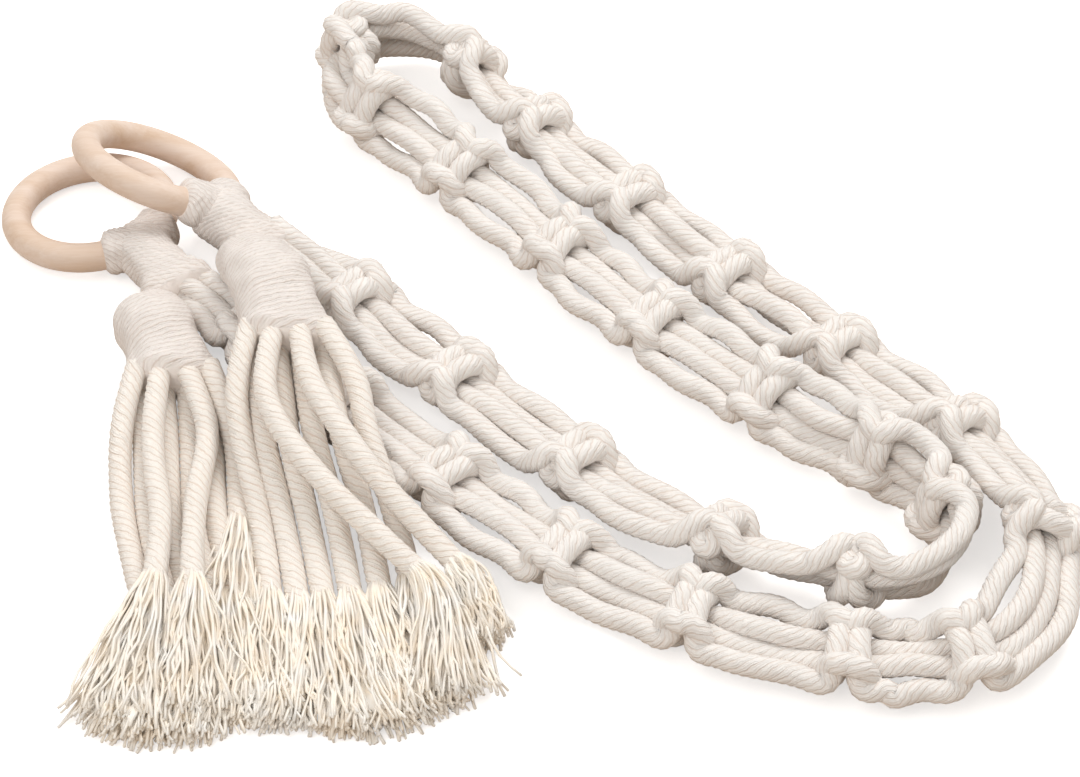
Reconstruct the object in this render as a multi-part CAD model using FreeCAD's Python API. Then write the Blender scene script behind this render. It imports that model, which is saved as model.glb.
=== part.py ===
import FreeCAD, Part
import math
import os

# Macrame carrying strap: one long band of four cotton cords, tied in spaced
# square knots, with a wooden ring hitched to each end and a tassel below each
# hitch. It lies on a table, folded in two. Millimetres, +Z up.

V = FreeCAD.Vector

# ---------------------------------------------------------------- sizes
cord_d = 6.2                # every cotton cord, relaxed
cord_sides = 8              # flats round a cord, with a round cord's area
cord_clearance = 0.5        # left between one cord and the next
fit_clearance = 0.3         # left round a cord or ring that is held

ring_outer_d = 55.0
ring_section_d = 9.0
ring_sides = 16             # flats round the ring's section
left_ring_centre = V(-131.5, 68.0, 6.4)
left_ring_axis = V(-0.05, 0.05, 1.0)
left_hitch_angle = -46.0    # where on the ring the strap is hitched, from +X
right_ring_centre = V(-111.0, 76.5, 16.6)
right_ring_axis = V(0.37, 0.34, 0.86)
right_hitch_angle = -38.0

hitch_wrap = 2.3            # thickness of the cotton wrapped on the ring
hitch_span = 56.0           # degrees of ring that the hitch covers
hitch_steps = 4             # flats along the hitch
hitch_sides = 8             # flats round it, inside and out
neck_d = 15.0               # the wrapped neck, just below its hitch
neck_end_width = 25.0       # the neck where the band and the tassel part
neck_part = 6.5             # band and tassel each leave this far off its middle
neck_overlap = 2.0          # cord cut away to end square to the neck
gather_lift = 5.0           # fillers above, outer cords below, at the neck
gather_easing = 1.3         # the same, one corner further on

knot_width = 26.4           # square knot, across the band
knot_thickness = 16.6       # from the front bars to the back bars
knot_room = 0.98            # round the fillers, which bend a little in a knot
knot_length = 13.2          # two half knots, along the band
knot_bevel = 3.0            # rounding of the bars at the sides
knot_groove = 1.1           # dip between the two half knots
span_bow = 0.8              # how far the outer cords bow out between knots

tassel_gap = 0.9            # from the neck's end to the tassel's tip
tassel_tip_r = 0.8          # small enough to turn clear of the neck
fringe_thickness = 6.0

# ---------------------------------------------------------------- routes
# The band's centre line: a corner between each pair of knots, then the roll
# of the band about that line in degrees, positive with its left edge up.
band_route = [
    (-96.5, 34.7, 9.5, 0),
    (-86.5, 22.0, 9.2, 0),
    (-68.0, -5.5, 9.0, 0),
    (-33.5, -37.5, 9.0, 0),
    (-3.5, -70.5, 9.0, 2),
    (29.5, -98.0, 9.5, 4),
    (69.0, -117.5, 10.0, 6),
    (110.5, -126.5, 11.0, 12),
    (135.5, -118.5, 13.0, 22),
    (146.0, -96.0, 14.5, 32),
    (144.2, -58.0, 14.0, 28),
    (108.5, -15.0, 10.5, 10),
    (78.5, 16.0, 9.0, 0),
    (48.5, 50.5, 9.0, 0),
    (19.0, 86.5, 10.4, 8),
    (-8.0, 117.0, 13.4, 32),
    (-24.0, 144.0, 15.5, 66),
    (-46.0, 151.0, 16.0, 80),
    (-61.0, 125.0, 16.5, 66),
    (-32.0, 97.0, 13.0, 34),
    (-1.5, 63.5, 10.9, 8),
    (26.5, 28.5, 9.0, 0),
    (56.0, -6.0, 10.6, 10),
    (88.5, -37.5, 14.8, 42),
    (117.5, -57.0, 16.0, 72),
    (124.5, -81.0, 16.5, 76),
    (111.0, -102.0, 16.6, 70),
    (76.0, -93.3, 15.4, 44),
    (37.0, -69.0, 10.8, 12),
    (-0.5, -29.5, 9.0, 0),
    (-34.5, 7.0, 9.3, 0),
    (-60.5, 36.5, 10.0, 0),
    (-71.2, 49.8, 12.0, 0),
]
# Runs that hold no knot: the two ends, and one more in each tight bend.
bare_runs = (0, 8, 16, 25, 31)

# Each tassel: centre line of its gathered head as (x, y, z, half width,
# half height), from the neck down to where the strands part.
left_head = [
    (-107.6, 19.6, 10.2, 4.0, 4.0),
    (-107.2, 12.8, 11.2, 8.8, 8.4),
    (-105.2, 5.5, 12.2, 11.4, 10.6),
    (-102.0, -2.5, 11.2, 12.2, 9.2),
    (-100.0, -8.0, 10.0, 14.0, 8.0),
]
right_head = [
    (-79.6, 33.4, 19.4, 5.0, 4.0),
    (-77.0, 26.0, 24.5, 10.8, 8.0),
    (-73.0, 13.0, 28.6, 12.8, 9.6),
    (-69.3, 1.5, 28.4, 12.8, 9.2),
    (-66.0, -8.0, 26.0, 14.0, 8.0),
]
right_pivot_rise = 3.5      # the right tassel lies over the band

# The strands of each tassel, from the head to where they are combed out.
left_strands = [
    [
        (-110.3, -10.0, 13.9), (-113.6, -26.0, 10.2), (-113.4, -45.0, 4.2),
        (-109.6, -70.0, 3.5), (-101.5, -98.0, 3.5),
    ],
    [
        (-110.3, -9.0, 6.4), (-107.8, -26.0, 4.0), (-105.9, -47.0, 3.5),
        (-102.8, -71.0, 3.5), (-95.1, -98.0, 3.5),
    ],
    [
        (-103.4, -9.0, 6.4), (-101.0, -26.0, 4.0), (-99.2, -47.0, 3.5),
        (-96.4, -71.0, 3.5), (-88.7, -98.0, 3.5),
    ],
    [
        (-96.5, -9.0, 6.4), (-94.2, -26.0, 4.0), (-92.5, -47.0, 3.5),
        (-90.2, -71.0, 3.5), (-82.3, -98.0, 3.5),
    ],
    [
        (-89.6, -9.0, 6.4), (-87.4, -26.0, 4.0), (-86.0, -47.0, 3.5),
        (-83.8, -71.0, 3.5), (-75.9, -98.0, 3.5),
    ],
    [(-89.6, -9.6, 13.8), (-83.0, -26.0, 10.6), (-79.0, -43.5, 5.2), (-77.4, -69.0, 3.5)],
    [
        (-103.4, -9.0, 13.5), (-104.5, -28.0, 12.0), (-103.0, -48.0, 10.5),
        (-98.0, -72.0, 10.3), (-99.5, -97.0, 10.0),
    ],
    [
        (-96.5, -9.4, 13.6), (-90.5, -25.0, 12.5), (-87.5, -38.0, 11.0),
        (-90.0, -60.0, 10.5), (-89.5, -80.0, 10.5), (-88.5, -97.5, 10.0),
    ],
]
right_strands = [
    [
        (-76.4, -9.4, 29.9), (-80.9, -27.0, 24.2), (-77.4, -45.0, 14.0),
        (-70.6, -68.0, 5.0), (-66.8, -98.0, 3.5),
    ],
    [
        (-76.4, -9.0, 22.4), (-73.7, -28.0, 19.0), (-70.7, -46.0, 14.2),
        (-64.1, -69.0, 5.5), (-59.2, -99.0, 3.5),
    ],
    [
        (-69.5, -8.8, 22.4), (-66.8, -28.0, 20.5), (-64.0, -46.0, 16.5),
        (-57.0, -70.0, 6.0), (-52.0, -99.0, 3.5),
    ],
    [
        (-62.6, -8.8, 22.4), (-59.8, -28.0, 21.5), (-57.0, -46.0, 18.5),
        (-49.0, -71.0, 7.5), (-44.5, -98.0, 3.5),
    ],
    [
        (-55.7, -8.8, 22.4), (-53.0, -27.0, 21.6), (-49.5, -45.0, 19.5),
        (-41.0, -69.0, 8.0), (-36.5, -96.0, 3.5),
    ],
    [
        (-55.7, -9.9, 30.1), (-45.0, -27.0, 26.6), (-42.5, -44.0, 20.0),
        (-34.0, -65.0, 10.0), (-28.0, -92.0, 3.5),
    ],
    [
        (-69.5, -8.8, 29.5), (-72.0, -26.0, 28.0), (-70.0, -41.0, 25.0),
        (-57.5, -60.0, 21.0), (-40.0, -79.0, 16.0), (-23.0, -94.0, 10.0),
    ],
    [
        (-62.6, -8.8, 29.5), (-60.5, -28.0, 29.0), (-52.0, -46.0, 28.0),
        (-38.5, -64.0, 20.5), (-24.5, -78.0, 13.5), (-13.0, -91.0, 9.7),
    ],
]
# Plan outlines of the combed-out fringes.
left_fringe = [
    (-105.0, -99.6), (-72.4, -99.0), (-73.5, -125.0), (-76.0, -152.0), (-92.0, -155.0),
    (-108.5, -153.5), (-101.0, -125.0),
]
right_fringe = [
    (-70.2, -100.0), (-45.0, -101.0), (-24.0, -94.0), (-8.0, -103.0), (-2.0, -120.0),
    (-18.0, -137.0), (-40.0, -146.0), (-72.5, -141.0),
]


# ---------------------------------------------------------------- helpers
def unit(vector):
    """The vector at length 1."""
    return vector / vector.Length


def save(name, shape):
    """Write one node's solid, or group of solids, to its STEP file."""
    shape.exportStep("parts/" + name + ".step")
    solids = shape.Solids
    print(name, "solids", len(solids), "volume %.0f" % shape.Volume, "valid", shape.isValid())


def cord_path(points):
    """Straight runs joined by tangent arcs, as large as the runs allow."""
    edges = []
    start = points[0]
    tightest = None
    for before, corner, after in zip(points, points[1:], points[2:]):
        back = before - corner
        ahead = after - corner
        half_turn = (math.pi - back.getAngle(ahead)) / 2
        reach = 0.45 * min(back.Length, ahead.Length)
        radius = reach / math.tan(half_turn)
        if tightest is None or radius < tightest:
            tightest = radius
        first = corner + unit(back) * reach
        last = corner + unit(ahead) * reach
        inward = unit(unit(back) + unit(ahead))
        dip = radius / math.cos(half_turn) - radius
        edges.append(Part.LineSegment(start, first).toShape())
        edges.append(Part.Arc(first, corner + inward * dip, last).toShape())
        start = last
    edges.append(Part.LineSegment(start, points[-1]).toShape())
    return Part.Wire(edges), tightest


def flats(centre, first, second, radius, sides):
    """A closed wire of flats, with the area of a circle of that radius."""
    turn = 2 * math.pi / sides
    corner_r = radius * math.sqrt(turn / math.sin(turn))
    corners = []
    for k in range(sides):
        a = turn * (k + 0.5)
        corners.append(centre + first * corner_r * math.cos(a) + second * corner_r * math.sin(a))
    return Part.makePolygon(corners + [corners[0]])


def tube(path, start, direction, diameter):
    """A solid of one section along a wire."""
    along = unit(direction)
    level = unit(V(0, 0, 1).cross(along))
    section = flats(start, level, along.cross(level), diameter / 2, cord_sides)
    return path.makePipe(Part.Face(section))


def flat_loft(rings):
    """A solid of flat faces over rings that all have as many corners."""
    faces = []
    for near, far in zip(rings, rings[1:]):
        for k in range(len(near)):
            after = (k + 1) % len(near)
            for corners in ([near[k], near[after], far[after]], [near[k], far[after], far[k]]):
                faces.append(Part.Face(Part.makePolygon(corners + corners[:1])))
    for ring in (rings[0], rings[-1]):
        faces.append(Part.Face(Part.makePolygon(ring + ring[:1])))
    solid = Part.makeSolid(Part.makeShell(faces))
    if solid.Volume < 0:
        solid.reverse()
    return solid


def cord(name, points, diameter=cord_d):
    """One cord, with its tightest bend and its volume against its length."""
    path, tightest = cord_path(points)
    solid = tube(path, points[0], points[1] - points[0], diameter)
    expected = math.pi * diameter ** 2 / 4 * path.Length
    print(
        name, "length %.1f" % path.Length, "tightest radius %.1f" % tightest,
        "volume ratio %.4f" % (solid.Volume / expected),
    )
    return solid


def band_frames():
    """Across and up directions of the band at each corner of its route."""
    corners = [V(x, y, z) for x, y, z, roll in band_route]
    frames = []
    for index, corner in enumerate(corners):
        before = corners[max(index - 1, 0)]
        after = corners[min(index + 1, len(corners) - 1)]
        along = unit(after - before)
        mitre = 1.0
        if 0 < index < len(corners) - 1:
            half_turn = (corner - before).getAngle(after - corner) / 2
            mitre = 1 / math.cos(half_turn)
            along = unit(unit(corner - before) + unit(after - corner))
        level = unit(V(0, 0, 1).cross(along))
        top = unit(along.cross(level))
        roll = math.radians(band_route[index][3])
        across = level * math.cos(roll) * mitre + top * math.sin(roll)
        frames.append((corner, along, across))
    return frames


frames = band_frames()
cord_pitch = cord_d + cord_clearance


def band_line(offset):
    """The band's route moved sideways, gathered two by two at the necks."""
    side = math.copysign(1, offset)
    upward = 1 if abs(offset) < cord_pitch else -1
    line = [corner + across * offset for corner, along, across in frames]
    for end, beside, outward in ((0, 1, -1), (-1, -2, 1)):
        corner, along, across = frames[end]
        up = unit(along.cross(across))
        line[end] = corner + across * side * cord_pitch / 2 + up * upward * gather_lift
        line[end] = line[end] + along * outward * neck_overlap
        line[beside] = line[beside] + up * upward * gather_easing
    return line


def slab(place, along, across, back, ahead):
    """All of the band's section, from one distance to another along it."""
    half = knot_width
    square = [(half, half), (-half, half), (-half, -half), (half, -half)]
    face = Part.Face(wire_at(square, place + along * back, along, across))
    return face.extrude(along * (ahead - back))


def neck_slabs():
    """What the two necks take off the ends of the cords."""
    corner, along, across = frames[0]
    start = slab(corner, along, across, -neck_d, fit_clearance)
    corner, along, across = frames[-1]
    return [start, slab(corner, along, across, -fit_clearance, neck_d)]


def knot_frame(run):
    """Middle, along and across directions of the knot on one run."""
    first, along_a, across_a = frames[run]
    second, along_b, across_b = frames[run + 1]
    along = unit(second - first)
    blend = across_a + across_b
    across = unit(blend - along * blend.dot(along))
    return (first + second) / 2, along, across


knot_runs = [run for run in range(len(band_route) - 1) if run not in bare_runs]


# ---------------------------------------------------------------- square knot
def collar_ring(width, thickness, bevel):
    """Corners of a bevelled rectangle, across by up."""
    w = width / 2
    t = thickness / 2
    return [
        (w, t - bevel), (w - bevel, t), (bevel - w, t), (-w, t - bevel),
        (-w, bevel - t), (bevel - w, -t), (w - bevel, -t), (w, bevel - t),
    ]


def wire_at(pairs, place, along, across):
    """A closed wire through pairs of across and up distances at one place."""
    up = along.cross(across)
    corners = [place + across * a + up * u for a, u in pairs]
    return Part.makePolygon(corners + [corners[0]])


def square_knot(run):
    """Two half knots: bars in front and behind, joined by loops at the sides.

    The bars of each half knot go round the two filler cords, which run
    through the middle with a small clearance.
    """
    middle, along, across = knot_frame(run)
    half = knot_length / 2
    shrink = knot_groove * 2
    stations = [(-half, shrink), (-half / 2, 0.0), (0.0, shrink), (half / 2, 0.0), (half, shrink)]
    wires = []
    for distance, less in stations:
        ring = collar_ring(knot_width - less, knot_thickness - less, knot_bevel)
        wires.append(wire_at(ring, middle + along * distance, along, across))
    body = Part.makeLoft(wires, True, True)
    channel_width = 2 * cord_d + cord_clearance + 2 * knot_room
    channel_height = cord_d + 2 * knot_room
    channel = []
    for distance in (-half - 1.0, half + 1.0):
        corners = collar_ring(channel_width, channel_height, cord_d * 0.29)
        channel.append(wire_at(corners, middle + along * distance, along, across))
    return body.cut(Part.makeLoft(channel, True, True))


# ---------------------------------------------------------------- band
def outer_spans(side):
    """The outer cord on one side: a bowed length from each knot to the next."""
    seat = 1.5 * cord_pitch
    line = band_line(side * (seat + span_bow))
    reach = knot_length / 2 + fit_clearance
    start_slab, end_slab = neck_slabs()
    slabs = [start_slab]
    seats = []
    for run in knot_runs:
        middle, along, across = knot_frame(run)
        seats.append(middle + across * side * seat)
        slabs.append(slab(middle, along, across, -reach, reach))
    slabs.append(end_slab)
    spans = []
    for index in range(len(knot_runs) + 1):
        first = knot_runs[index - 1] + 1 if index else 1
        last = knot_runs[index] if index < len(knot_runs) else len(band_route) - 2
        start = seats[index - 1] if index else line[0]
        stop = seats[index] if index < len(knot_runs) else line[-1]
        path, tightest = cord_path([start] + line[first:last + 1] + [stop])
        span = tube(path, start, line[first] - start, cord_d)
        spans.append(span.cut(slabs[index:index + 2]))
    return Part.makeCompound(spans)


os.makedirs("parts", exist_ok=True)

for name, offset in (("filler_cord_left", cord_pitch / 2), ("filler_cord_right", -cord_pitch / 2)):
    save(name, cord(name, band_line(offset)).cut(neck_slabs()))
save("working_cord_left", outer_spans(1))
save("working_cord_right", outer_spans(-1))
save("square_knots", Part.makeCompound([square_knot(run) for run in knot_runs]))


# ---------------------------------------------------------------- rings
def ring_frame(centre, axis, hitch_angle):
    """Axis, outward and tangent directions of a ring at its hitch."""
    axis = unit(axis)
    angle = math.radians(hitch_angle)
    level = V(math.cos(angle), math.sin(angle), 0)
    outward = unit(level - axis * level.dot(axis))
    return centre, axis, outward, unit(axis.cross(outward))


left_ring = ring_frame(left_ring_centre, left_ring_axis, left_hitch_angle)
right_ring = ring_frame(right_ring_centre, right_ring_axis, right_hitch_angle)
ring_middle_r = (ring_outer_d - ring_section_d) / 2


def ring_solid(place, radius, sides):
    """One section of flats turned a whole turn about the ring's axis."""
    centre, axis, outward, tangent = place
    section = flats(centre + outward * ring_middle_r, outward, axis, radius, sides)
    return Part.Face(section).revolve(centre, axis, 360)


def hitch_cover(place):
    """The outside of a hitch: flats wrapped round the ring's section."""
    centre, axis, outward, tangent = place
    half_turn = math.pi / hitch_sides
    outer = (ring_section_d / 2 + fit_clearance) / math.cos(half_turn) + hitch_wrap
    step = hitch_span / hitch_steps

    def section(degrees):
        turned = math.radians(degrees)
        radial = outward * math.cos(turned) + tangent * math.sin(turned)
        stretch = 1 / math.cos(math.radians(step / 2))
        corners = []
        for k in range(hitch_sides):
            a = half_turn * (2 * k + 1)
            out = (ring_middle_r + outer * math.cos(a)) * stretch
            corners.append(centre + radial * out + axis * outer * math.sin(a))
        return corners

    return flat_loft([section(-hitch_span / 2 + step * k) for k in range(hitch_steps + 1)])


def hitch(place):
    """Cotton wrapped on the ring, open at both ends so that the ring can turn."""
    bore = ring_section_d / 2 + 2 * fit_clearance
    return hitch_cover(place).cut(ring_solid(place, bore, hitch_sides))


save("ring_left", ring_solid(left_ring, ring_section_d / 2, ring_sides))
save("ring_right", ring_solid(right_ring, ring_section_d / 2, ring_sides))
save("ring_hitch_left", hitch(left_ring))
save("ring_hitch_right", hitch(right_ring))


# ---------------------------------------------------------------- necks
def oval(centre, normal, half_width, half_height, sides=12):
    """Corners round an oval, level across, that faces along normal."""
    level = unit(V(0, 0, 1).cross(normal))
    up = unit(normal.cross(level))
    corners = []
    for k in range(sides):
        a = 2 * math.pi * (k + 0.5) / sides
        corners.append(centre + level * half_width * math.cos(a) + up * half_height * math.sin(a))
    return corners


def neck(place, end, outward_along):
    """The wrapped neck, from its hitch to where the band and the tassel part."""
    centre, axis, outward, tangent = place
    top = centre + outward * (ring_middle_r + ring_section_d / 2)
    run = unit(end - top)
    narrow = oval(top, run, neck_d / 2, neck_d / 2)
    middle = oval((top + end) / 2, run, neck_d / 2, neck_d / 2)
    wide = oval(end, outward_along, neck_end_width / 2, neck_d / 2)
    return flat_loft([narrow, middle, wide]).cut(hitch_cover(place))


corner, along, across = frames[0]
left_pivot = corner - across * 2 * neck_part
left_tip = left_pivot + along * tassel_gap
save("neck_wrap_left", neck(left_ring, corner - across * neck_part, along))
corner, along, across = frames[-1]
right_pivot = corner + across * 2 * neck_part + V(0, 0, right_pivot_rise)
right_tip = right_pivot - along * tassel_gap
save("neck_wrap_right", neck(right_ring, corner + across * neck_part, along * -1))


# ---------------------------------------------------------------- tassels
def head(sections, tip):
    """A tassel's bound head, from its tip at the neck to where its strands part."""
    rings = [oval(tip, V(0, -1, 0), tassel_tip_r, tassel_tip_r)]
    for x, y, z, half_width, half_height in sections:
        rings.append(oval(V(x, y, z), V(0, -1, 0), half_width, half_height))
    return flat_loft(rings)


def fringe(outline):
    """The combed-out ends of a tassel's strands: one flat, flaring brush."""
    corners = [V(x, y, 0) for x, y in outline]
    face = Part.Face(Part.makePolygon(corners + [corners[0]]))
    return face.extrude(V(0, 0, fringe_thickness))


save("tassel_head_left", head(left_head, left_tip))
save("tassel_head_right", head(right_head, right_tip))
save("tassel_fringe_left", fringe(left_fringe))
save("tassel_fringe_right", fringe(right_fringe))
for side, strands in (("left", left_strands), ("right", right_strands)):
    for number, points in enumerate(strands, 1):
        name = "tassel_strand_%s_%d" % (side, number)
        save(name, cord(name, [V(*point) for point in points]))
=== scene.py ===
import bpy
import math
import random
import numpy as np
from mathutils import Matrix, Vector, noise


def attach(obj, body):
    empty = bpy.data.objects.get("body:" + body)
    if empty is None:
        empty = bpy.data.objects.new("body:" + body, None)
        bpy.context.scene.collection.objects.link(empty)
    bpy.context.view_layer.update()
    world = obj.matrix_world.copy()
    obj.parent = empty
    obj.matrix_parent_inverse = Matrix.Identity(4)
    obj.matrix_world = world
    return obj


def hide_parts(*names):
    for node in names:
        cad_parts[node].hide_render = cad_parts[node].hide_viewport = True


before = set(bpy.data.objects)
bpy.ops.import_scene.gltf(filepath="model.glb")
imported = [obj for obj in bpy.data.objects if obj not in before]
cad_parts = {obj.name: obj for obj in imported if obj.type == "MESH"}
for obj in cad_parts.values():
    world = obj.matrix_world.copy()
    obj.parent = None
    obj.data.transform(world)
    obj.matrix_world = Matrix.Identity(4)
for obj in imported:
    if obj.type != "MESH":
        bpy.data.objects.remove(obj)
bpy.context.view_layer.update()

bpy.ops.object.select_all(action="DESELECT")


# ------------------------------------------------------------------ camera
# A long lens a metre away, looking down at the table at 43 degrees.
eye_drop = math.radians(43)
camera_data = bpy.data.cameras.new("camera")
camera_data.sensor_fit = "HORIZONTAL"
camera_data.sensor_width = 36
camera_data.lens = 120.4
camera_data.clip_start = 0.05
camera_data.clip_end = 30
camera = bpy.data.objects.new("camera", camera_data)
camera.location = (0.007, -0.7839, 0.7263)
camera.rotation_euler = (math.pi / 2 - eye_drop, 0, 0)
bpy.context.scene.collection.objects.link(camera)
bpy.context.scene.camera = camera


# ------------------------------------------------------------------ band
# Four undyed cotton cords, side by side: two fillers that run straight
# through every knot, and two working cords that tie the square knots round
# them. The band leaves one ring's neck, is folded in two, and ends at the other.
CORD = 0.0062
# Pulled tight, a cord spreads to a little over its own width.
BAND_CORD_R = CORD * 0.525
BAND_PLIES, BAND_LAY = 8, 0.021
BAND_ROW_STEP = 0.0011

# Corners of the band's line in metres, with its roll there in degrees: flat at
# its ends and in its long runs, and up on its edge at the tight folds.
band_route = [
    (-0.0965, 0.0347, 0.0095, 0),
    (-0.0865, 0.0220, 0.0092, 0),
    (-0.0680, -0.0055, 0.0090, 0),
    (-0.0335, -0.0375, 0.0090, 0),
    (-0.0035, -0.0705, 0.0090, 2),
    (0.0295, -0.0980, 0.0095, 4),
    (0.0690, -0.1175, 0.0100, 6),
    (0.1105, -0.1265, 0.0110, 12),
    (0.1355, -0.1185, 0.0130, 22),
    (0.1460, -0.0960, 0.0145, 32),
    (0.1442, -0.0580, 0.0140, 28),
    (0.1085, -0.0150, 0.0105, 10),
    (0.0785, 0.0160, 0.0090, 0),
    (0.0485, 0.0505, 0.0090, 0),
    (0.0190, 0.0865, 0.0104, 8),
    (-0.0080, 0.1170, 0.0134, 32),
    (-0.0240, 0.1440, 0.0155, 66),
    (-0.0460, 0.1510, 0.0160, 80),
    (-0.0610, 0.1250, 0.0165, 66),
    (-0.0320, 0.0970, 0.0130, 34),
    (-0.0015, 0.0635, 0.0109, 8),
    (0.0265, 0.0285, 0.0090, 0),
    (0.0560, -0.0060, 0.0106, 10),
    (0.0885, -0.0375, 0.0148, 42),
    (0.1175, -0.0570, 0.0160, 72),
    (0.1245, -0.0810, 0.0165, 76),
    (0.1110, -0.1020, 0.0166, 70),
    (0.0760, -0.0933, 0.0154, 44),
    (0.0370, -0.0690, 0.0108, 12),
    (-0.0005, -0.0295, 0.0090, 0),
    (-0.0345, 0.0070, 0.0093, 0),
    (-0.0605, 0.0365, 0.0100, 0),
    (-0.0712, 0.0498, 0.0120, 0),
]
# Runs between corners that hold no knot.
bare_runs = (0, 8, 16, 25, 31)


def smooth_line(points, resolution=12):
    """The points of a smooth line that has the given ones as its corners."""
    curve = bpy.data.curves.new("line", "CURVE")
    curve.dimensions = "3D"
    spline = curve.splines.new("NURBS")
    spline.points.add(len(points) - 1)
    for corner, point in zip(spline.points, points):
        corner.co = (*point[:3], 1)
    spline.order_u = 3
    spline.use_endpoint_u = True
    spline.resolution_u = resolution
    holder = bpy.data.objects.new("line", curve)
    mesh = bpy.data.meshes.new_from_object(holder)
    line = np.array([v.co for v in mesh.vertices])
    bpy.data.meshes.remove(mesh)
    bpy.data.objects.remove(holder)
    bpy.data.curves.remove(curve)
    return line


def lengths_along(line):
    """How far along the line each of its points is."""
    return np.concatenate([[0], np.cumsum(np.linalg.norm(np.diff(line, axis=0), axis=1))])


def respaced(line, step):
    """The same line with its points a step apart."""
    along = lengths_along(line)
    at = np.linspace(0, along[-1], max(4, int(along[-1] / step) + 1))
    return np.stack([np.interp(at, along, line[:, k]) for k in range(3)], axis=1)


def unit(v):
    return v / np.linalg.norm(v)


band_line = smooth_line(band_route, 16)
band_along = lengths_along(band_line)
band_points = np.array([p[:3] for p in band_route])
run_middles = (band_points[:-1] + band_points[1:]) / 2
run_at = [band_along[np.linalg.norm(band_line - m, axis=1).argmin()] for m in run_middles]
run_rolls = [(a[3] + b[3]) / 2 for a, b in zip(band_route, band_route[1:])]
knot_at = [at for run, at in enumerate(run_at) if run not in bare_runs]


def band_place(s):
    """Point, along, across and up of the band at one length along it."""
    near = 0.003
    point, behind, ahead = (
        np.array([np.interp(at, band_along, band_line[:, k]) for k in range(3)])
        for at in (s, max(s - near, 0), min(s + near, band_along[-1]))
    )
    along = unit(ahead - behind)
    level = unit(np.cross((0, 0, 1), along))
    roll = math.radians(np.interp(s, run_at, run_rolls))
    across = level * math.cos(roll) + np.cross(along, level) * math.sin(roll)
    return point, along, across, np.cross(along, across)


def on_band(s, w, n):
    """A place on the band: length along it, then across and up from its middle."""
    inside = min(max(s, 0), band_along[-1])
    point, along, across, up = band_place(inside)
    if inside != s:
        point = point + along * (s - inside)
    return point + across * w + up * n


def rope(name, lines, radius, knots=(), plies=BAND_PLIES, lay=BAND_LAY, sides=16):
    """Cords of twisted plies along one or more lines, with their ends closed.

    Its UV map has turns round the cord against metres along it.
    """
    groove = 0.08
    pulled_in, knot_reach = 0.93, 0.009
    vertices, faces, coordinates = [], [], []
    for number, line in enumerate(lines):
        base, count = len(vertices), len(line)
        along = lengths_along(line)
        start = number * 0.7
        tangents = np.gradient(line, axis=0)
        tangents /= np.linalg.norm(tangents, axis=1)[:, None]
        side = np.cross(tangents[0], (0.13, 0.21, 0.97))
        lobe = np.abs(np.sin(plies * math.pi * np.arange(sides) / sides))
        for i in range(count):
            t = tangents[i]
            side = unit(side - t * side.dot(t))
            # Each row of corners is turned with the lay, so that edges follow the plies.
            a = 2 * math.pi * (np.arange(sides) / sides - (along[i] + start) / lay)
            swell = 1 + 0.05 * noise.noise((along[i] * 70, number * 5.0, lay * 900))
            r = radius * swell * (1 + groove * 0.3 - groove * (1 - lobe) ** 1.7)
            if len(knots) and np.abs(knots - line[i]).sum(axis=1).min() < knot_reach:
                r = r * pulled_in
            ring = line[i] + np.outer(r * np.cos(a), side)
            ring += np.outer(r * np.sin(a), np.cross(t, side))
            vertices += ring.tolist()
        vertices += [line[0].tolist(), line[-1].tolist()]
        first, last = base + count * sides, base + count * sides + 1
        for i in range(count - 1):
            v = (along[i] + start, along[i + 1] + start)
            for k in range(sides):
                j = (k + 1) % sides
                low, high = base + i * sides, base + (i + 1) * sides
                faces.append((low + k, low + j, high + j, high + k))
                u = [(k + more) / sides - at / lay for at in v for more in (0, 1)]
                coordinates += [u[0], v[0], u[1], v[0], u[3], v[1], u[2], v[1]]
        for k in range(sides):
            j = (k + 1) % sides
            end = base + (count - 1) * sides
            faces += [(first, base + j, base + k), (last, end + k, end + j)]
            coordinates += [k / sides, start] * 3 + [k / sides, start] * 3
    return soft_piece(name, vertices, faces, coordinates)


def soft_piece(name, vertices, faces, coordinates):
    """A smooth-shaded piece from its mesh and its UV places."""
    mesh = bpy.data.meshes.new(name)
    mesh.from_pydata(vertices, [], faces)
    mesh.uv_layers.new(name="round and along").data.foreach_set("uv", coordinates)
    mesh.polygons.foreach_set("use_smooth", [True] * len(mesh.polygons))
    piece = bpy.data.objects.new(name, mesh)
    bpy.context.scene.collection.objects.link(piece)
    return piece


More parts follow.
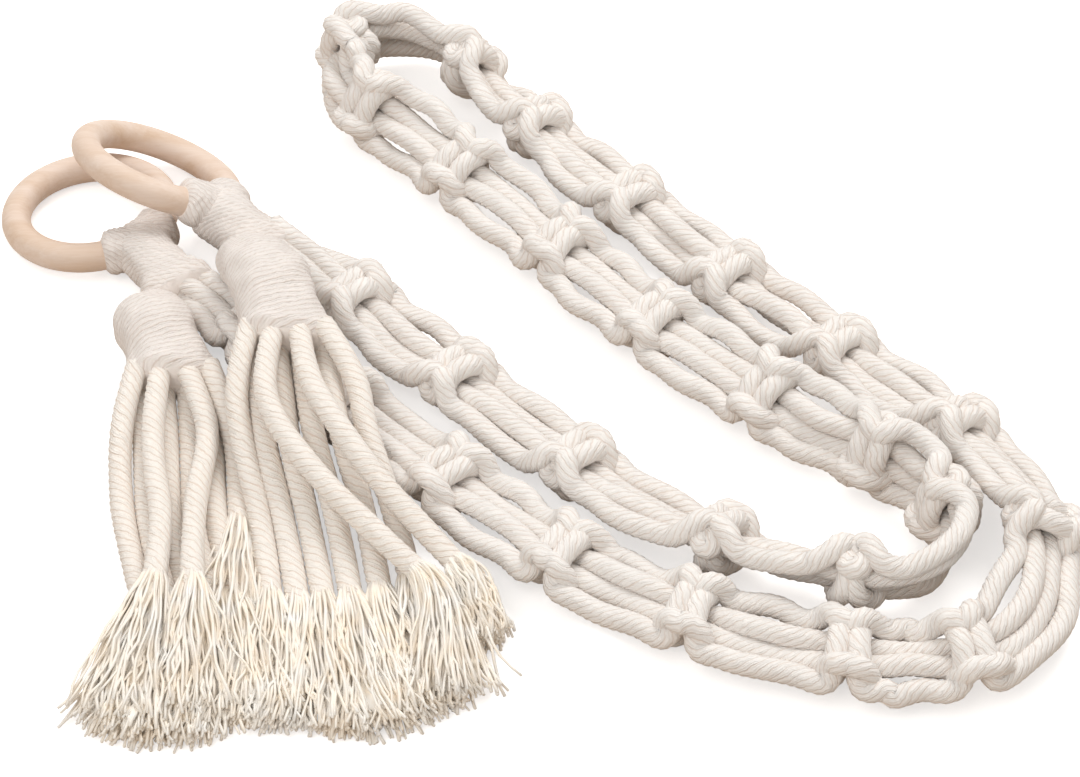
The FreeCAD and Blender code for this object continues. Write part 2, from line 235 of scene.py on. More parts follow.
# One square knot, as (along, across, up) in cord widths from its middle. The
# front cord lies over the fillers twice. The back cord arches over it and dives
# behind the fillers, comes up on the far side as a short bar, and returns.
front_cord = [
    (-2.10, -1.32, 0.0), (-1.20, -1.60, 0.0), (-0.70, -1.60, 0.10), (-0.50, -1.2, 0.50),
    (-0.46, -0.6, 0.98), (-0.45, 0.1, 1.10), (-0.45, 0.75, 0.92), (-0.42, 1.2, 0.4),
    (-0.25, 1.42, 0.0), (0.25, 1.42, 0.0), (0.42, 1.2, 0.4), (0.45, 0.75, 0.92),
    (0.45, 0.1, 1.10), (0.46, -0.6, 0.98), (0.50, -1.2, 0.50), (0.70, -1.60, 0.10),
    (1.10, -1.62, 0.0), (1.70, -1.50, 0.0),
]
back_cord = [
    (-2.20, 1.30, 0.0), (-1.30, 1.55, 0.25), (-0.88, 1.58, 0.8), (-0.52, 1.28, 1.22),
    (-0.2, 1.0, 1.2), (-0.03, 0.98, 0.5), (-0.12, 1.0, -0.45), (-0.27, 0.6, -0.9),
    (-0.45, 0.0, -0.95), (-0.65, -0.6, -0.88), (-0.92, -1.0, -0.35), (-0.90, -1.1, 0.4),
    (-0.62, -1.16, 1.0), (-0.27, -1.2, 1.18), (0.0, -1.22, 1.15), (0.27, -1.2, 1.18),
    (0.62, -1.16, 1.0), (0.90, -1.1, 0.4), (0.92, -1.0, -0.35), (0.65, -0.6, -0.88),
    (0.45, 0.0, -0.95), (0.27, 0.6, -0.9), (0.12, 1.0, -0.45), (0.03, 0.98, 0.5),
    (0.2, 1.0, 1.2), (0.52, 1.28, 1.22), (0.85, 1.55, 0.8), (1.22, 1.60, 0.3),
    (1.70, 1.50, 0.0),
]


def working_line(template, seat):
    """The line of one working cord: bowed out between knots, and tied at each.

    seat is how far to the side it lies. At both ends of the band it leans over
    and under, into the bundle that a neck holds.
    """
    rng = random.Random(seat)
    over, under = 0.0065, -0.003
    points = [
        on_band(-0.003, seat * 0.25 - over, under),
        on_band(0.006, seat * 0.55 - 0.003, -0.002),
    ]
    for number, at in enumerate(knot_at):
        size = rng.uniform(0.94, 1.08)
        lean = rng.uniform(-0.1, 0.1)
        if number and at - knot_at[number - 1] > 0.03:
            middle = (at + knot_at[number - 1]) / 2
            points.append(on_band(
                middle + rng.uniform(-0.005, 0.002), seat * rng.uniform(1.04, 1.26),
                rng.uniform(-0.0020, 0.0030),
            ))
        for s, w, n in template:
            jitter = [rng.uniform(-0.09, 0.09) for k in range(3)]
            points.append(on_band(
                at + (s * size + lean * w + jitter[0]) * CORD, (w + jitter[1]) * CORD,
                (n + jitter[2]) * CORD,
            ))
    end = band_along[-1]
    points += [
        on_band(end - 0.006, seat * 0.55 + 0.003, -0.002),
        on_band(end + 0.003, seat * 0.25 + over, under),
    ]
    return respaced(smooth_line(points, 8), BAND_ROW_STEP)


def filler_line(side):
    """The line of one filler, at one side of the band's middle, 1 or -1.

    The two lie level in a knot, turn about each other and wander a little
    between one knot and the next, and are gathered up at the band's ends.
    """
    gathered_over, quiet_end, half_span = 0.014, 0.03, 0.02
    line = []
    for s in np.linspace(-0.003, band_along[-1] + 0.003, 900):
        from_end = min(s, band_along[-1] - s)
        gathered = 1 - min(1.0, max(0.0, from_end / gathered_over))
        shift = math.copysign(0.0042, s - 0.1) * gathered
        span = math.sin(math.pi / 2 * min(1.0, np.abs(knot_at - s).min() / half_span)) ** 2
        free = min(1.0, max(0.0, (from_end - quiet_end) / quiet_end))
        rng = random.Random(int(np.searchsorted(knot_at, s)) + 40)
        turn = rng.choice((-1, 1)) * rng.uniform(0.25, 1.15) * span * free
        shift += rng.uniform(-0.0022, 0.0022) * span * free
        spread = side * (0.0030 + 0.0005 * noise.noise((s * 50, side * 3.0, 0)) * span)
        rise = 0.0028 * gathered + (0.0006 + 0.0012 * noise.noise((s * 42, 0, 4))) * span
        line.append(on_band(s, spread * math.cos(turn) + shift, spread * math.sin(turn) + rise))
    return respaced(np.array(line), BAND_ROW_STEP)


knot_at = np.array(knot_at)
knots = np.array([band_place(s)[0] for s in knot_at])
front = rope(
    "band_front_cord_and_fillers",
    [working_line(front_cord, -1.5 * CORD), filler_line(1), filler_line(-1)],
    BAND_CORD_R, knots,
)
back = rope("band_back_cord", [working_line(back_cord, 1.5 * CORD)], BAND_CORD_R, knots)


# Undyed cotton, laid in plies and left unbleached: soft and matt, faintly uneven
# in tone. The plies show as slanting lines 2 to 3 mm apart, with finer ones of
# yarn between them. Where they meet, the colour is painted darker towards the
# second colour, as painted shade in the grooves on top of their bump.
def linear(hexadecimal):
    """An sRGB hex colour as the linear colour that a shader takes."""
    out = []
    for k in (0, 2, 4):
        c = int(hexadecimal[k:k + 2], 16) / 255
        out.append(c / 12.92 if c <= 0.04045 else ((c + 0.055) / 1.055) ** 2.4)
    return (*out, 1)


def node(tree, kind, links=None, **settings):
    """Adds a node with its settings and, by socket name, its values and links."""
    new = tree.nodes.new(kind)
    for key, value in settings.items():
        setattr(new, key, value)
    for key, value in (links or {}).items():
        if isinstance(value, bpy.types.NodeSocket):
            tree.links.new(value, new.inputs[key])
        else:
            new.inputs[key].default_value = value
    return new


def cotton(name, pale, groove_shade_and_mottle, plies, lay, waver):
    """Cotton laid round a form that has a UV map of turns against metres.

    plies is how many lie side by side round it, each of three yarns, lay how far
    each goes along in one turn, and waver how far they stray, in turns.
    """
    yarns_in_ply, fibres_over_ply, fibre_runs_in_metre = 3, 7.0, 220.0
    material = bpy.data.materials.new(name)
    material.use_nodes = True
    tree = material.node_tree
    tree.nodes.clear()
    where = node(tree, "ShaderNodeTexCoord")
    place = node(tree, "ShaderNodeSeparateXYZ", {0: where.outputs["UV"]})
    turns = node(tree, "ShaderNodeMath", {0: place.outputs[1], 1: 1 / lay, 2: place.outputs[0]},
                 operation="MULTIPLY_ADD")
    sway = node(tree, "ShaderNodeTexNoise", {
        "Vector": where.outputs["Object"], "Scale": 230.0, "Detail": 2.0,
    })
    swayed = node(tree, "ShaderNodeMath", {0: sway.outputs[0], 1: waver, 2: turns.outputs[0]},
                  operation="MULTIPLY_ADD")
    ridges = []
    for count in (plies, plies * yarns_in_ply):
        phase = node(tree, "ShaderNodeMath", {0: swayed.outputs[0], 1: count * math.pi},
                     operation="MULTIPLY")
        wave = node(tree, "ShaderNodeMath", {0: phase.outputs[0]}, operation="SINE")
        crest = node(tree, "ShaderNodeMath", {0: wave.outputs[0]}, operation="ABSOLUTE")
        ridges.append(node(tree, "ShaderNodeMath", {0: crest.outputs[0], 1: 1.6},
                           operation="POWER"))
    ridge = node(tree, "ShaderNodeMath", {
        0: ridges[1].outputs[0], 1: 0.5, 2: ridges[0].outputs[0],
    }, operation="MULTIPLY_ADD")
    # Fibres run with the yarn, and are far longer than they are wide.
    down = node(tree, "ShaderNodeMath", {0: place.outputs[1], 1: fibre_runs_in_metre},
                operation="MULTIPLY")
    across = node(tree, "ShaderNodeMath", {0: turns.outputs[0], 1: plies * fibres_over_ply},
                  operation="MULTIPLY")
    fibre_place = node(tree, "ShaderNodeCombineXYZ", {0: across.outputs[0], 1: down.outputs[0]})
    fibre = node(tree, "ShaderNodeTexNoise", {
        "Vector": fibre_place.outputs[0], "Scale": 1.0, "Detail": 3.0, "Roughness": 0.65,
    })
    height = node(tree, "ShaderNodeMath", {0: fibre.outputs[0], 1: 1.6, 2: ridge.outputs[0]},
                  operation="MULTIPLY_ADD")
    cloud = node(tree, "ShaderNodeTexNoise", {
        "Vector": where.outputs["Object"], "Scale": 60.0, "Detail": 3.0,
    })
    painted_shade_and_mottle = node(tree, "ShaderNodeMath", {0: cloud.outputs[0], 1: 0.7, 2: height.outputs[0]},
                operation="MULTIPLY_ADD")
    share = node(tree, "ShaderNodeMath", {0: painted_shade_and_mottle.outputs[0], 1: 0.42}, operation="MULTIPLY")
    # The ramp's dark end is painted shade where the ridge value is low, in the grooves between
    # plies and yarns, mixed with random tone from the fibre and cloud noise.
    ramp = node(tree, "ShaderNodeValToRGB", {"Fac": share.outputs[0]})
    ramp.color_ramp.elements[0].position = 0.3
    ramp.color_ramp.elements[0].color = linear(groove_shade_and_mottle)
    ramp.color_ramp.elements[1].position = 0.85
    ramp.color_ramp.elements[1].color = linear(pale)
    bump = node(tree, "ShaderNodeBump", {
        "Height": height.outputs[0], "Strength": 0.7, "Distance": 0.0004,
    })
    shader = node(tree, "ShaderNodeBsdfPrincipled", {
        "Base Color": ramp.outputs[0], "Normal": bump.outputs[0], "Roughness": 0.92,
        "Specular IOR Level": 0.2, "Sheen Weight": 0.25, "Sheen Roughness": 0.5,
    })
    node(tree, "ShaderNodeOutputMaterial", {"Surface": shader.outputs[0]})
    return material


# The second colour is painted shade for the grooves between plies and yarns.
band_cotton = cotton("undyed_cotton_cord", "FFF9F3", "ECDACC", BAND_PLIES, BAND_LAY, 0.15)
for piece in (front, back):
    piece.data.materials.append(band_cotton)
    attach(piece, "strap")
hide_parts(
    "working_cord_left", "working_cord_right", "filler_cord_left",
    "filler_cord_right", "square_knots",
)


# ------------------------------------------------------------------ tassel strands
# Eight twisted cotton cords hang out of each tassel's head, four in a row below
# and four above them, bound in at the top and combed out to yarn at their ends.
STRAND_R = CORD * 0.54
STRAND_PLIES, STRAND_LAY = 6, 0.0165
STRAND_ROW_STEP = 0.001
# Corners of each strand's line, from the head to where its yarn begins.
left_strands = [
    [
        (-0.1103, -0.0100, 0.0139), (-0.1136, -0.0260, 0.0102), (-0.1134, -0.0450, 0.0042),
        (-0.1096, -0.0700, 0.0035), (-0.1015, -0.0980, 0.0035),
    ],
    [
        (-0.1103, -0.0090, 0.0064), (-0.1078, -0.0260, 0.0040), (-0.1059, -0.0470, 0.0035),
        (-0.1028, -0.0710, 0.0035), (-0.0951, -0.0980, 0.0035),
    ],
    [
        (-0.1034, -0.0090, 0.0064), (-0.1010, -0.0260, 0.0040), (-0.0992, -0.0470, 0.0035),
        (-0.0964, -0.0710, 0.0035), (-0.0887, -0.0980, 0.0035),
    ],
    [
        (-0.0965, -0.0090, 0.0064), (-0.0942, -0.0260, 0.0040), (-0.0925, -0.0470, 0.0035),
        (-0.0902, -0.0710, 0.0035), (-0.0823, -0.0980, 0.0035),
    ],
    [
        (-0.0896, -0.0090, 0.0064), (-0.0874, -0.0260, 0.0040), (-0.0860, -0.0470, 0.0035),
        (-0.0838, -0.0710, 0.0035), (-0.0759, -0.0980, 0.0035),
    ],
    [
        (-0.0896, -0.0096, 0.0138), (-0.0830, -0.0260, 0.0106),
        (-0.0790, -0.0435, 0.0052), (-0.0774, -0.0690, 0.0035),
    ],
    [
        (-0.1034, -0.0090, 0.0135), (-0.1045, -0.0280, 0.0120), (-0.1030, -0.0480, 0.0105),
        (-0.0980, -0.0720, 0.0103), (-0.0995, -0.0970, 0.0100),
    ],
    [
        (-0.0965, -0.0094, 0.0136), (-0.0905, -0.0250, 0.0125), (-0.0875, -0.0380, 0.0110),
        (-0.0900, -0.0600, 0.0105), (-0.0895, -0.0800, 0.0105), (-0.0885, -0.0975, 0.0100),
    ],
]
right_strands = [
    [
        (-0.0764, -0.0094, 0.0299), (-0.0809, -0.0270, 0.0242), (-0.0774, -0.0450, 0.0140),
        (-0.0706, -0.0680, 0.0050), (-0.0668, -0.0980, 0.0035),
    ],
    [
        (-0.0764, -0.0090, 0.0224), (-0.0737, -0.0280, 0.0190), (-0.0707, -0.0460, 0.0142),
        (-0.0641, -0.0690, 0.0055), (-0.0592, -0.0990, 0.0035),
    ],
    [
        (-0.0695, -0.0088, 0.0224), (-0.0668, -0.0280, 0.0205), (-0.0640, -0.0460, 0.0165),
        (-0.0570, -0.0700, 0.0060), (-0.0520, -0.0990, 0.0035),
    ],
    [
        (-0.0626, -0.0088, 0.0224), (-0.0598, -0.0280, 0.0215), (-0.0570, -0.0460, 0.0185),
        (-0.0490, -0.0710, 0.0075), (-0.0445, -0.0980, 0.0035),
    ],
    [
        (-0.0557, -0.0088, 0.0224), (-0.0530, -0.0270, 0.0216), (-0.0495, -0.0450, 0.0195),
        (-0.0410, -0.0690, 0.0080), (-0.0365, -0.0960, 0.0035),
    ],
    [
        (-0.0557, -0.0099, 0.0301), (-0.0450, -0.0270, 0.0266), (-0.0425, -0.0440, 0.0200),
        (-0.0340, -0.0650, 0.0100), (-0.0280, -0.0920, 0.0035),
    ],
    [
        (-0.0695, -0.0088, 0.0295), (-0.0720, -0.0260, 0.0280), (-0.0700, -0.0410, 0.0250),
        (-0.0575, -0.0600, 0.0210), (-0.0400, -0.0790, 0.0160), (-0.0230, -0.0940, 0.0100),
    ],
    [
        (-0.0626, -0.0088, 0.0295), (-0.0605, -0.0280, 0.0290), (-0.0520, -0.0460, 0.0280),
        (-0.0385, -0.0640, 0.0205), (-0.0245, -0.0780, 0.0135), (-0.0130, -0.0910, 0.0097),
    ],
]
# Where the yarn of each strand ends up, in plan.
left_ends = [
    (-0.1040, -0.1510), (-0.0970, -0.1515), (-0.0905, -0.1505), (-0.0850, -0.1500),
    (-0.0780, -0.1480), (-0.0740, -0.1200), (-0.0995, -0.1480), (-0.0860, -0.1450),
]
right_ends = [
    (-0.0695, -0.1415), (-0.0610, -0.1440), (-0.0510, -0.1470), (-0.0410, -0.1470),
    (-0.0300, -0.1440), (-0.0130, -0.1310), (-0.0190, -0.1350), (-0.0040, -0.1120),
]


def yarns(name, tips, seed):
    """Combed-out yarn: from the end of each strand, a dense core and a wavy tuft.

    Real yarn is finer and far more of it; each thread here stands for several.
    """
    threads_in_tuft, core_rows, thread_rows = 155, 10, 13
    above, mark_step = np.array((0, 0, 1)), 0.004
    rng = random.Random(seed)
    vertices, faces, coordinates = [], [], []

    def tube(line, wide, high, sides):
        tangents = np.gradient(np.array(line), axis=0)
        base, count, mark = len(vertices), len(line), rng.random()
        for i, (p, t) in enumerate(zip(line, tangents)):
            t = unit(t)
            across = unit(np.cross(t, (0, 0, 1)))
            up = np.cross(across, t)
            for k in range(sides):
                b = 2 * math.pi * k / sides
                spot = p + across * wide[i] * math.cos(b) + up * high[i] * math.sin(b)
                vertices.append(spot.tolist())
        for i in range(count - 1):
            for k in range(sides):
                j = (k + 1) % sides
                low, high_ring = base + i * sides, base + (i + 1) * sides
                faces.append((low + k, high_ring + k, high_ring + j, low + j))
                u = (k / sides, (k + 1) / sides)
                v = (mark + i * mark_step, mark + i * mark_step + mark_step)
                coordinates.extend((u[0], v[0], u[0], v[1], u[1], v[1], u[1], v[0]))
        faces.append(tuple(base + k for k in range(sides)))
        faces.append(tuple(base + (count - 1) * sides + k for k in reversed(range(sides))))
        coordinates.extend([0, 0] * sides * 2)

    def arc(points, t):
        a, b, c, d = points
        r = 1 - t
        return a * r ** 3 + b * 3 * t * r ** 2 + c * 3 * t * t * r + d * t ** 3

    for tip, heading, target in tips:
        side = unit(np.cross(heading, (0, 0, 1)))
        on_top = tip[2] > 0.016
        cut = rng.uniform(0.62, 0.8) if on_top else rng.uniform(0.8, 1.02)
        spread, bend = rng.uniform(13, 24), rng.uniform(-12, 12)
        flat_aim = np.array((target[0] - tip[0], target[1] - tip[1], 0.0)) * cut

        def aimed(degrees, share, drop):
            turn = math.radians(degrees)
            aim = np.array((flat_aim[0] * math.cos(turn) - flat_aim[1] * math.sin(turn),
                            flat_aim[0] * math.sin(turn) + flat_aim[1] * math.cos(turn), 0.0))
            end = tip + aim * share
            end[2] = max(0.0012, 0.3 * tip[2] + 0.0015 + drop)
            return end

        end = aimed(bend, 0.84, -0.0006)
        reach = np.linalg.norm(end - tip)
        bends = (tip - heading * 0.004, tip + heading * reach * 0.3,
                 end - unit(end - tip) * reach * 0.35, end)
        core = [arc(bends, t) for t in np.linspace(0, 1, core_rows)]
        open_out = [math.sin(math.pi / 2 * i / (core_rows - 1)) for i in range(core_rows)]
        high = [0.0027 + 0.0004 * o for o in open_out]
        for p, h in zip(core, high):
            p[2] = max(p[2], h + 0.0004)
        wide = [0.0028 + reach * math.radians(spread) * 0.34 * o for o in open_out]
        tube(core, wide, high, 12)

        for count in range(threads_in_tuft):
            a, r = rng.uniform(0, 2 * math.pi), CORD / 2 * math.sqrt(rng.random())
            start = tip - heading * 0.006 + side * r * math.cos(a) + above * r * math.sin(a)
            fan, rise = math.cos(a) * r / CORD * 2, math.sin(a) * r / CORD * 2
            end = aimed(
                bend - fan * spread + rng.gauss(0, 4),
                rng.choice((0.9, 0.97, 1.0, 1.0)) * rng.uniform(0.97, 1.03),
                0.004 * rise + rng.uniform(-0.001, 0.002),
            )
            reach = np.linalg.norm(end - start)
            belly = above * rng.uniform(0.0, 0.0045) * (0.55 + rise)
            bends = (
                start, start + heading * reach * 0.3 + side * fan * 0.005 + belly,
                end - unit(end - tip) * reach * 0.35 + side * rng.gauss(0, 0.0022) + belly, end,
            )
            waves = [(rng.uniform(0.0006, 0.0019), rng.uniform(0.9, 2.9), rng.uniform(0, 6.3))
                     for k in range(2)]
            line = []
            for t in np.linspace(0, 1, thread_rows):
                p = arc(bends, t)
                for way, (size, rate, phase) in zip((side, above), waves):
                    p = p + way * size * t * math.sin(rate * t * 6.3 + phase)
                p[2] = max(p[2], 0.0006)
                line.append(p)
            thick = [rng.uniform(0.00034, 0.00052)] * thread_rows
            tube(line, thick, thick, 4)
    return soft_piece(name, vertices, faces, coordinates)


# The second colour is painted shade for the grooves between plies and yarns.
strand_cotton = cotton("undyed_cotton_strand", "FFF7EE", "E7D1BE", STRAND_PLIES, STRAND_LAY, 0.17)
# Combed yarn is the same cotton, a little paler where its twist has opened.
yarn_cotton = bpy.data.materials.new("combed_cotton_yarn")
yarn_cotton.use_nodes = True
tree = yarn_cotton.node_tree
tree.nodes.clear()
where = node(tree, "ShaderNodeTexCoord")
cloud = node(tree, "ShaderNodeTexNoise", {
    "Vector": where.outputs["Object"], "Scale": 140.0, "Detail": 2.0,
})
ramp = node(tree, "ShaderNodeValToRGB", {"Fac": cloud.outputs[0]})
ramp.color_ramp.elements[0].position = 0.3
ramp.color_ramp.elements[0].color = linear("FFF3E2")
ramp.color_ramp.elements[1].position = 0.7
ramp.color_ramp.elements[1].color = linear("FFFBF5")
shader = node(tree, "ShaderNodeBsdfPrincipled", {
    "Base Color": ramp.outputs[0], "Roughness": 0.9, "Specular IOR Level": 0.2,
    "Sheen Weight": 0.2,
})
node(tree, "ShaderNodeOutputMaterial", {"Surface": shader.outputs[0]})

for side, strands, ends in (
    ("left", left_strands, left_ends), ("right", right_strands, right_ends),
):
    body = "tassel_" + side
    made, tips = [], []
    for number, (points, target) in enumerate(zip(strands, ends), 1):
        line = smooth_line(points, 24)
        name = "tassel_strand_%s_%d" % (side, number)
        strand = rope(
            name + "_cord", [respaced(line, STRAND_ROW_STEP)], STRAND_R,
            plies=STRAND_PLIES, lay=STRAND_LAY, sides=18,
        )
        strand.data.materials.append(strand_cotton)
        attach(strand, body)
        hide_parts(name)
        made.append((strand, line))
        tips.append((line[-1], unit(line[-1] - line[-4]), target))
    fringe = yarns("tassel_yarn_" + side, tips, len(side))
    fringe.data.materials.append(yarn_cotton)
    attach(fringe, body)
    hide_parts("tassel_fringe_" + side)


# ------------------------------------------------------------------ wound cotton
# Each hitch, neck and tassel head is bound over with cotton yarn, turn beside
# turn, finer on the heads than on the hitches and necks, so that it reads as one
# soft form with slanting ridges. The yarn's own end is tucked in under the turns.
# The second colour is painted shade for the grooves of the yarn's ply pattern.
wound_cotton = cotton("wound_cotton_yarn", "FCF3EC", "E3D0C3", 20, 0.032, 0.05)


def wound(name, rows, ridge_mm=1.1, slant=0.012, lumps=0.0016, sides=72, step=0.0005):
    """A bound form through ovals: rows of centre, across, up, half width, half height.

    slant is how far each turn of yarn goes along while it goes once round.
    """
    squareness = 0.85
    centres = np.array([r[0] for r in rows], float)
    along = lengths_along(centres)
    count = max(8, int(along[-1] / step))
    at = np.linspace(0, along[-1], count)

    def eased(values):
        values = np.array(values, float)
        slopes = np.gradient(values, along, axis=0)
        out = []
        for s in at:
            i = min(int(np.searchsorted(along, s, side="right")) - 1, len(along) - 2)
            h = along[i + 1] - along[i]
            t = (s - along[i]) / h
            out.append(
                values[i] * (2 * t ** 3 - 3 * t * t + 1)
                + slopes[i] * h * (t ** 3 - 2 * t * t + t)
                + values[i + 1] * (3 * t * t - 2 * t ** 3)
                + slopes[i + 1] * h * (t ** 3 - t * t)
            )
        return np.array(out)

    middle = eased(centres)
    across = eased([r[1] for r in rows])
    up = eased([r[2] for r in rows])
    wide = eased([r[3] for r in rows])
    high = eased([r[4] for r in rows])
    ridge = ridge_mm / 1000
    # A whole number of ridges, so that the turns meet where the form closes.
    slant = round(slant / ridge) * ridge
    vertices = []
    for i in range(count):
        for k in range(sides):
            a = 2 * math.pi * k / sides
            x, z = (
                math.copysign(abs(f(a)) ** squareness, f(a)) for f in (math.cos, math.sin)
            )
            spot = middle[i] + unit(across[i]) * wide[i] * x + unit(up[i]) * high[i] * z
            out = unit(across[i]) * math.cos(a) / max(wide[i], 1e-4)
            out += unit(up[i]) * math.sin(a) / max(high[i], 1e-4)
            phase = (at[i] - slant * k / sides) / ridge
            phase += 1.2 * noise.noise(Vector(spot) * 90)
            turn = abs(math.sin(math.pi * phase))
            lift = 0.2 * ridge * (turn - 0.6) + lumps * noise.noise(Vector(spot) * 60)
            lift += 0.5 * lumps * noise.noise(Vector(spot) * 170)
            vertices.append(spot + unit(out) * lift)
    vertices += [middle[0], middle[-1]]
    faces, coordinates = [], []
    for i in range(count - 1):
        for k in range(sides):
            j = (k + 1) % sides
            low, over = i * sides, (i + 1) * sides
            faces.append((low + k, low + j, over + j, over + k))
            u = (k / sides, (k + 1) / sides)
            coordinates += [u[0], at[i], u[1], at[i], u[1], at[i + 1], u[0], at[i + 1]]
    for k in range(sides):
        j = (k + 1) % sides
        faces.append((count * sides, j, k))
        faces.append((count * sides + 1, (count - 1) * sides + k, (count - 1) * sides + j))
    coordinates += [0, 0] * sides * 6
    piece = soft_piece(name, [tuple(v) for v in vertices], faces, coordinates)
    piece.data.materials.append(wound_cotton)
    return piece


# Each head from its tip, where it hangs from the neck, down to its rounded lower
# end: centre, half width, half height.
left_head = [
    (-0.1067, 0.0266, 0.0095, 0.0028, 0.0028), (-0.1074, 0.0215, 0.0100, 0.0062, 0.0060),
    (-0.1072, 0.0150, 0.0110, 0.0098, 0.0092), (-0.1062, 0.0080, 0.0120, 0.0118, 0.0108),
    (-0.1040, 0.0005, 0.0117, 0.0121, 0.0103), (-0.1015, -0.0050, 0.0108, 0.0128, 0.0092),
    (-0.1000, -0.0095, 0.0102, 0.0142, 0.0095), (-0.0998, -0.0120, 0.0101, 0.0136, 0.0088),
    (-0.0997, -0.0137, 0.0101, 0.0112, 0.0062),
]
right_head = [
    (-0.0813, 0.0416, 0.0155, 0.0028, 0.0028), (-0.0800, 0.0360, 0.0184, 0.0060, 0.0052),
    (-0.0778, 0.0280, 0.0232, 0.0103, 0.0080), (-0.0755, 0.0200, 0.0268, 0.0124, 0.0094),
    (-0.0725, 0.0110, 0.0287, 0.0130, 0.0098), (-0.0695, 0.0020, 0.0284, 0.0130, 0.0094),
    (-0.0670, -0.0050, 0.0270, 0.0136, 0.0094), (-0.0658, -0.0095, 0.0260, 0.0143, 0.0094),
    (-0.0655, -0.0120, 0.0258, 0.0138, 0.0088), (-0.0655, -0.0137, 0.0257, 0.0114, 0.0062),
]
for side, rows in (("left", left_head), ("right", right_head)):
    head = wound("tassel_head_%s_binding" % side, [
        ((x, y, z), (-1, 0, 0), (0, 0, 1), wide, high) for x, y, z, wide, high in rows
    ], slant=0.016, lumps=0.0021)
    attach(head, "tassel_" + side)
    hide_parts("tassel_head_" + side)

# Each ring's centre and axis, and where its hitch sits, in degrees in plan.
RING_R = 0.023
RING_SECTION_R = 0.0045
COARSE_YARN_MM = 2.2
rings = {
    "left": ((-0.1315, 0.068, 0.0064), (-0.05, 0.05, 1.0), -46.0),
    "right": ((-0.111, 0.0765, 0.0166), (0.37, 0.34, 0.86), -38.0),
}
band_ends = {"left": band_place(0), "right": band_place(band_along[-1])}
for side, (centre, axis, degrees) in rings.items():
    centre, axis = np.array(centre), unit(np.array(axis))
    level = np.array((math.cos(math.radians(degrees)), math.sin(math.radians(degrees)), 0))
    outward = unit(level - axis * level.dot(axis))
    tangent = np.cross(axis, outward)
    rows = []
    for turn in (-29, -26, -20, -10, 0, 10, 20, 26, 29):
        a = math.radians(turn)
        radial = outward * math.cos(a) + tangent * math.sin(a)
        wrap = 0.0004 if abs(turn) == 29 else 0.0024 if abs(turn) < 25 else 0.0019
        thick = RING_SECTION_R + wrap
        rows.append((centre + radial * RING_R, radial, axis, thick, thick))
    sleeve = wound("ring_hitch_%s_wrap" % side, rows, ridge_mm=COARSE_YARN_MM, slant=0.0044)
    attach(sleeve, "strap")
    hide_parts("ring_hitch_" + side)
    point, along, across, up = band_ends[side]
    sign = -1 if side == "left" else 1
    end = point + across * sign * 0.0080
    leaving = along * -sign
    top = centre + outward * (RING_R - 0.001)
    run = unit(end - top)
    flat = unit(np.cross((0, 0, 1), run))
    rise = np.cross(run, flat)
    rows = [
        (top, tangent, axis, 0.0105, 0.0066),
        (top + run * 0.006, flat, rise, 0.0095, 0.0073),
        ((top + end) / 2, flat, rise, 0.0080, 0.0074),
        (end - run * 0.003, flat, rise, 0.0098, 0.0075),
        (end, flat, rise, 0.0114, 0.0082),
        (end + leaving * 0.005, flat, rise, 0.0108, 0.0078),
    ]
    neck = wound("neck_wrap_%s_binding" % side, rows, ridge_mm=COARSE_YARN_MM, slant=0.011)
    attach(neck, "strap")
    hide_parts("neck_wrap_" + side)


# ------------------------------------------------------------------ rings
# Two plain rings of pale maple, turned on a lathe, sanded and left bare. Each
# runs through a hitch's wrapping, which holds it but lets it turn.
# Sanded maple: pale and matt, with broad faint grain and fine flecks along it.
along_the_grain = (0.2, 0.1, 0.35)
maple = bpy.data.materials.new("sanded_maple")
maple.use_nodes = True
tree = maple.node_tree
tree.nodes.clear()
where = node(tree, "ShaderNodeTexCoord")
plank = node(tree, "ShaderNodeMapping", {
    "Vector": where.outputs["Object"], "Rotation": along_the_grain, "Scale": (14, 160, 160),
})
grain = node(tree, "ShaderNodeTexNoise", {
    "Vector": plank.outputs[0], "Scale": 1.0, "Detail": 5.0, "Distortion": 0.4,
})
fleck_place = node(tree, "ShaderNodeMapping", {
    "Vector": where.outputs["Object"], "Rotation": along_the_grain, "Scale": (120, 1500, 1500),
})
fleck = node(tree, "ShaderNodeTexNoise", {
    "Vector": fleck_place.outputs[0], "Scale": 1.0, "Detail": 2.0,
})
mixed = node(tree, "ShaderNodeMath", {0: fleck.outputs[0], 1: 0.35, 2: grain.outputs[0]},
             operation="MULTIPLY_ADD")
ramp = node(tree, "ShaderNodeValToRGB", {"Fac": mixed.outputs[0]})
ramp.color_ramp.elements[0].position = 0.40
ramp.color_ramp.elements[0].color = linear("D6B99F")
ramp.color_ramp.elements[1].position = 0.85
ramp.color_ramp.elements[1].color = linear("E7D3C4")
bump = node(tree, "ShaderNodeBump", {
    "Height": fleck.outputs[0], "Strength": 0.12, "Distance": 0.0002,
})
shader = node(tree, "ShaderNodeBsdfPrincipled", {
    "Base Color": ramp.outputs[0], "Normal": bump.outputs[0], "Roughness": 0.55,
    "Specular IOR Level": 0.35,
})
node(tree, "ShaderNodeOutputMaterial", {"Surface": shader.outputs[0]})
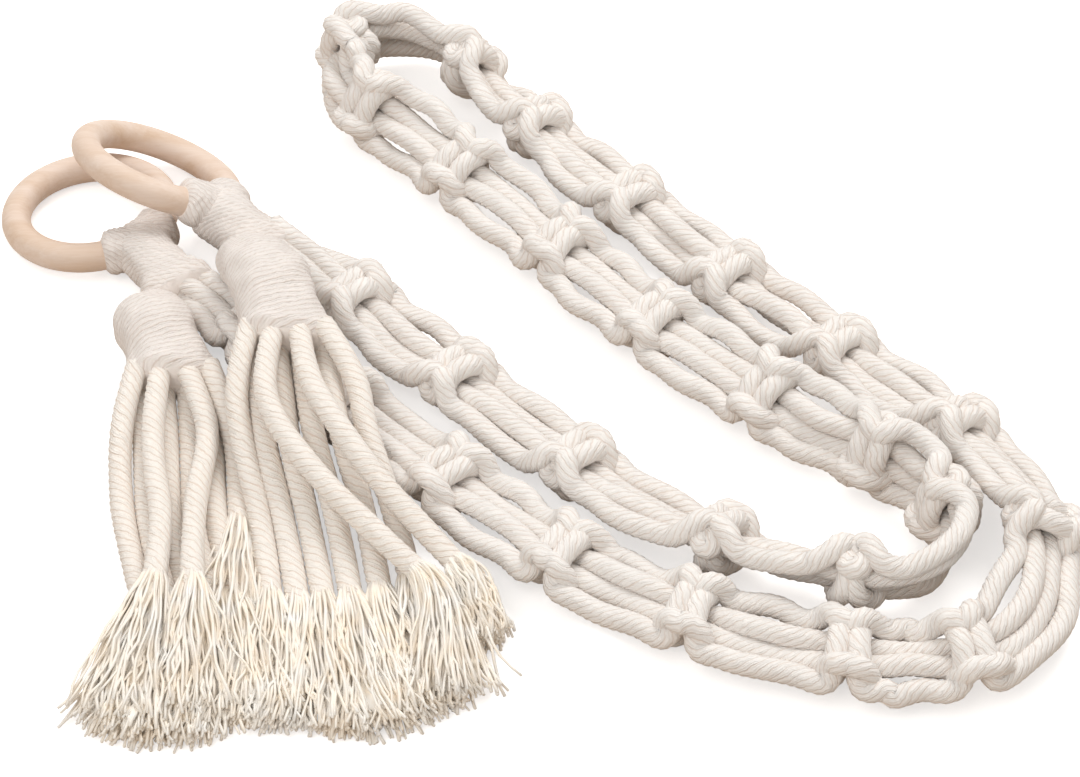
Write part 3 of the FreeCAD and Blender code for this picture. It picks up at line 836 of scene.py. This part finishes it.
for side, (centre, axis, degrees) in rings.items():
    bpy.ops.object.select_all(action="DESELECT")
    bpy.ops.mesh.primitive_circle_add(
        vertices=32, radius=RING_SECTION_R, location=(RING_R, 0, 0), rotation=(math.pi / 2, 0, 0),
    )
    piece = bpy.context.object
    piece.name = "ring_%s_turned" % side
    bpy.ops.object.transform_apply(location=True, rotation=True, scale=True)
    bpy.ops.object.mode_set(mode="EDIT")
    bpy.ops.mesh.select_all(action="SELECT")
    bpy.ops.mesh.spin(steps=128, angle=2 * math.pi, center=(0, 0, 0), axis=(0, 0, 1))
    bpy.ops.mesh.select_all(action="SELECT")
    bpy.ops.mesh.remove_doubles(threshold=0.00001)
    bpy.ops.mesh.normals_make_consistent(inside=False)
    bpy.ops.object.mode_set(mode="OBJECT")
    piece.rotation_euler = Vector(axis).to_track_quat("Z", "Y").to_euler()
    piece.location = centre
    bpy.ops.object.transform_apply(location=True, rotation=True, scale=True)
    bpy.ops.object.shade_smooth()
    piece.data.materials.append(maple)
    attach(piece, "ring_" + side)
    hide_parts("ring_" + side)


# ------------------------------------------------------------------ table and light
# A white table that keeps a soft shadow, and broad lamps from above. Only camera
# and glossy rays see the table white; all other rays see a darker tan, which is
# painted shade: it darkens and warms the light bounced up under and between the cords.
bpy.ops.object.select_all(action="DESELECT")
bpy.ops.mesh.primitive_plane_add(size=8, location=(0, 0, 0))
table = bpy.context.object
table.name = "table"
white = bpy.data.materials.new("white_table_with_tan_bounce")
white.use_nodes = True
tree = white.node_tree
tree.nodes.clear()
paths = node(tree, "ShaderNodeLightPath")
seen = node(tree, "ShaderNodeMath", {
    0: paths.outputs["Is Camera Ray"], 1: paths.outputs["Is Glossy Ray"],
}, operation="MAXIMUM")
matt = node(tree, "ShaderNodeBsdfDiffuse", {"Color": linear("F2F0EE")})
# Painted shade: a darker tan seen only by bounce rays, so the light it sends up onto the cotton
# is dimmer and warmer.
tan_bounce_shade = node(tree, "ShaderNodeBsdfDiffuse", {"Color": linear("C4B3A2")})
glow = node(tree, "ShaderNodeEmission", {"Color": (1, 1, 1, 1), "Strength": 0.55})
lifted = node(tree, "ShaderNodeAddShader", {0: matt.outputs[0], 1: glow.outputs[0]})
chosen = node(tree, "ShaderNodeMixShader", {
    0: seen.outputs[0], 1: tan_bounce_shade.outputs[0], 2: lifted.outputs[0],
})
node(tree, "ShaderNodeOutputMaterial", {"Surface": chosen.outputs[0]})
table.data.materials.append(white)

world = bpy.data.worlds.new("studio")
bpy.context.scene.world = world
world.use_nodes = True
tree = world.node_tree
tree.nodes.clear()
paths = node(tree, "ShaderNodeLightPath")
seen = node(tree, "ShaderNodeMath", {
    0: paths.outputs["Is Camera Ray"], 1: paths.outputs["Is Glossy Ray"],
}, operation="MAXIMUM")
soft = node(tree, "ShaderNodeBackground", {"Color": (1, 0.99, 0.97, 1), "Strength": 0.6})
open_white = node(tree, "ShaderNodeBackground", {"Color": (1, 1, 1, 1), "Strength": 1.0})
chosen = node(tree, "ShaderNodeMixShader", {
    0: seen.outputs[0], 1: soft.outputs[0], 2: open_white.outputs[0],
})
node(tree, "ShaderNodeOutputWorld", {"Surface": chosen.outputs[0]})

for name, place, size, power in (
    ("lamp_back", (0.45, 0.9, 1.5), 0.9, 16), ("lamp_front", (-0.7, -0.9, 1.5), 1.2, 10),
):
    lamp = bpy.data.lights.new(name, "AREA")
    lamp.shape = "SQUARE"
    lamp.size = size
    lamp.energy = power
    holder = bpy.data.objects.new(name, lamp)
    holder.location = place
    holder.rotation_euler = (-Vector(place)).to_track_quat("-Z", "Y").to_euler()
    bpy.context.scene.collection.objects.link(holder)

bpy.context.scene.view_settings.view_transform = "Standard"
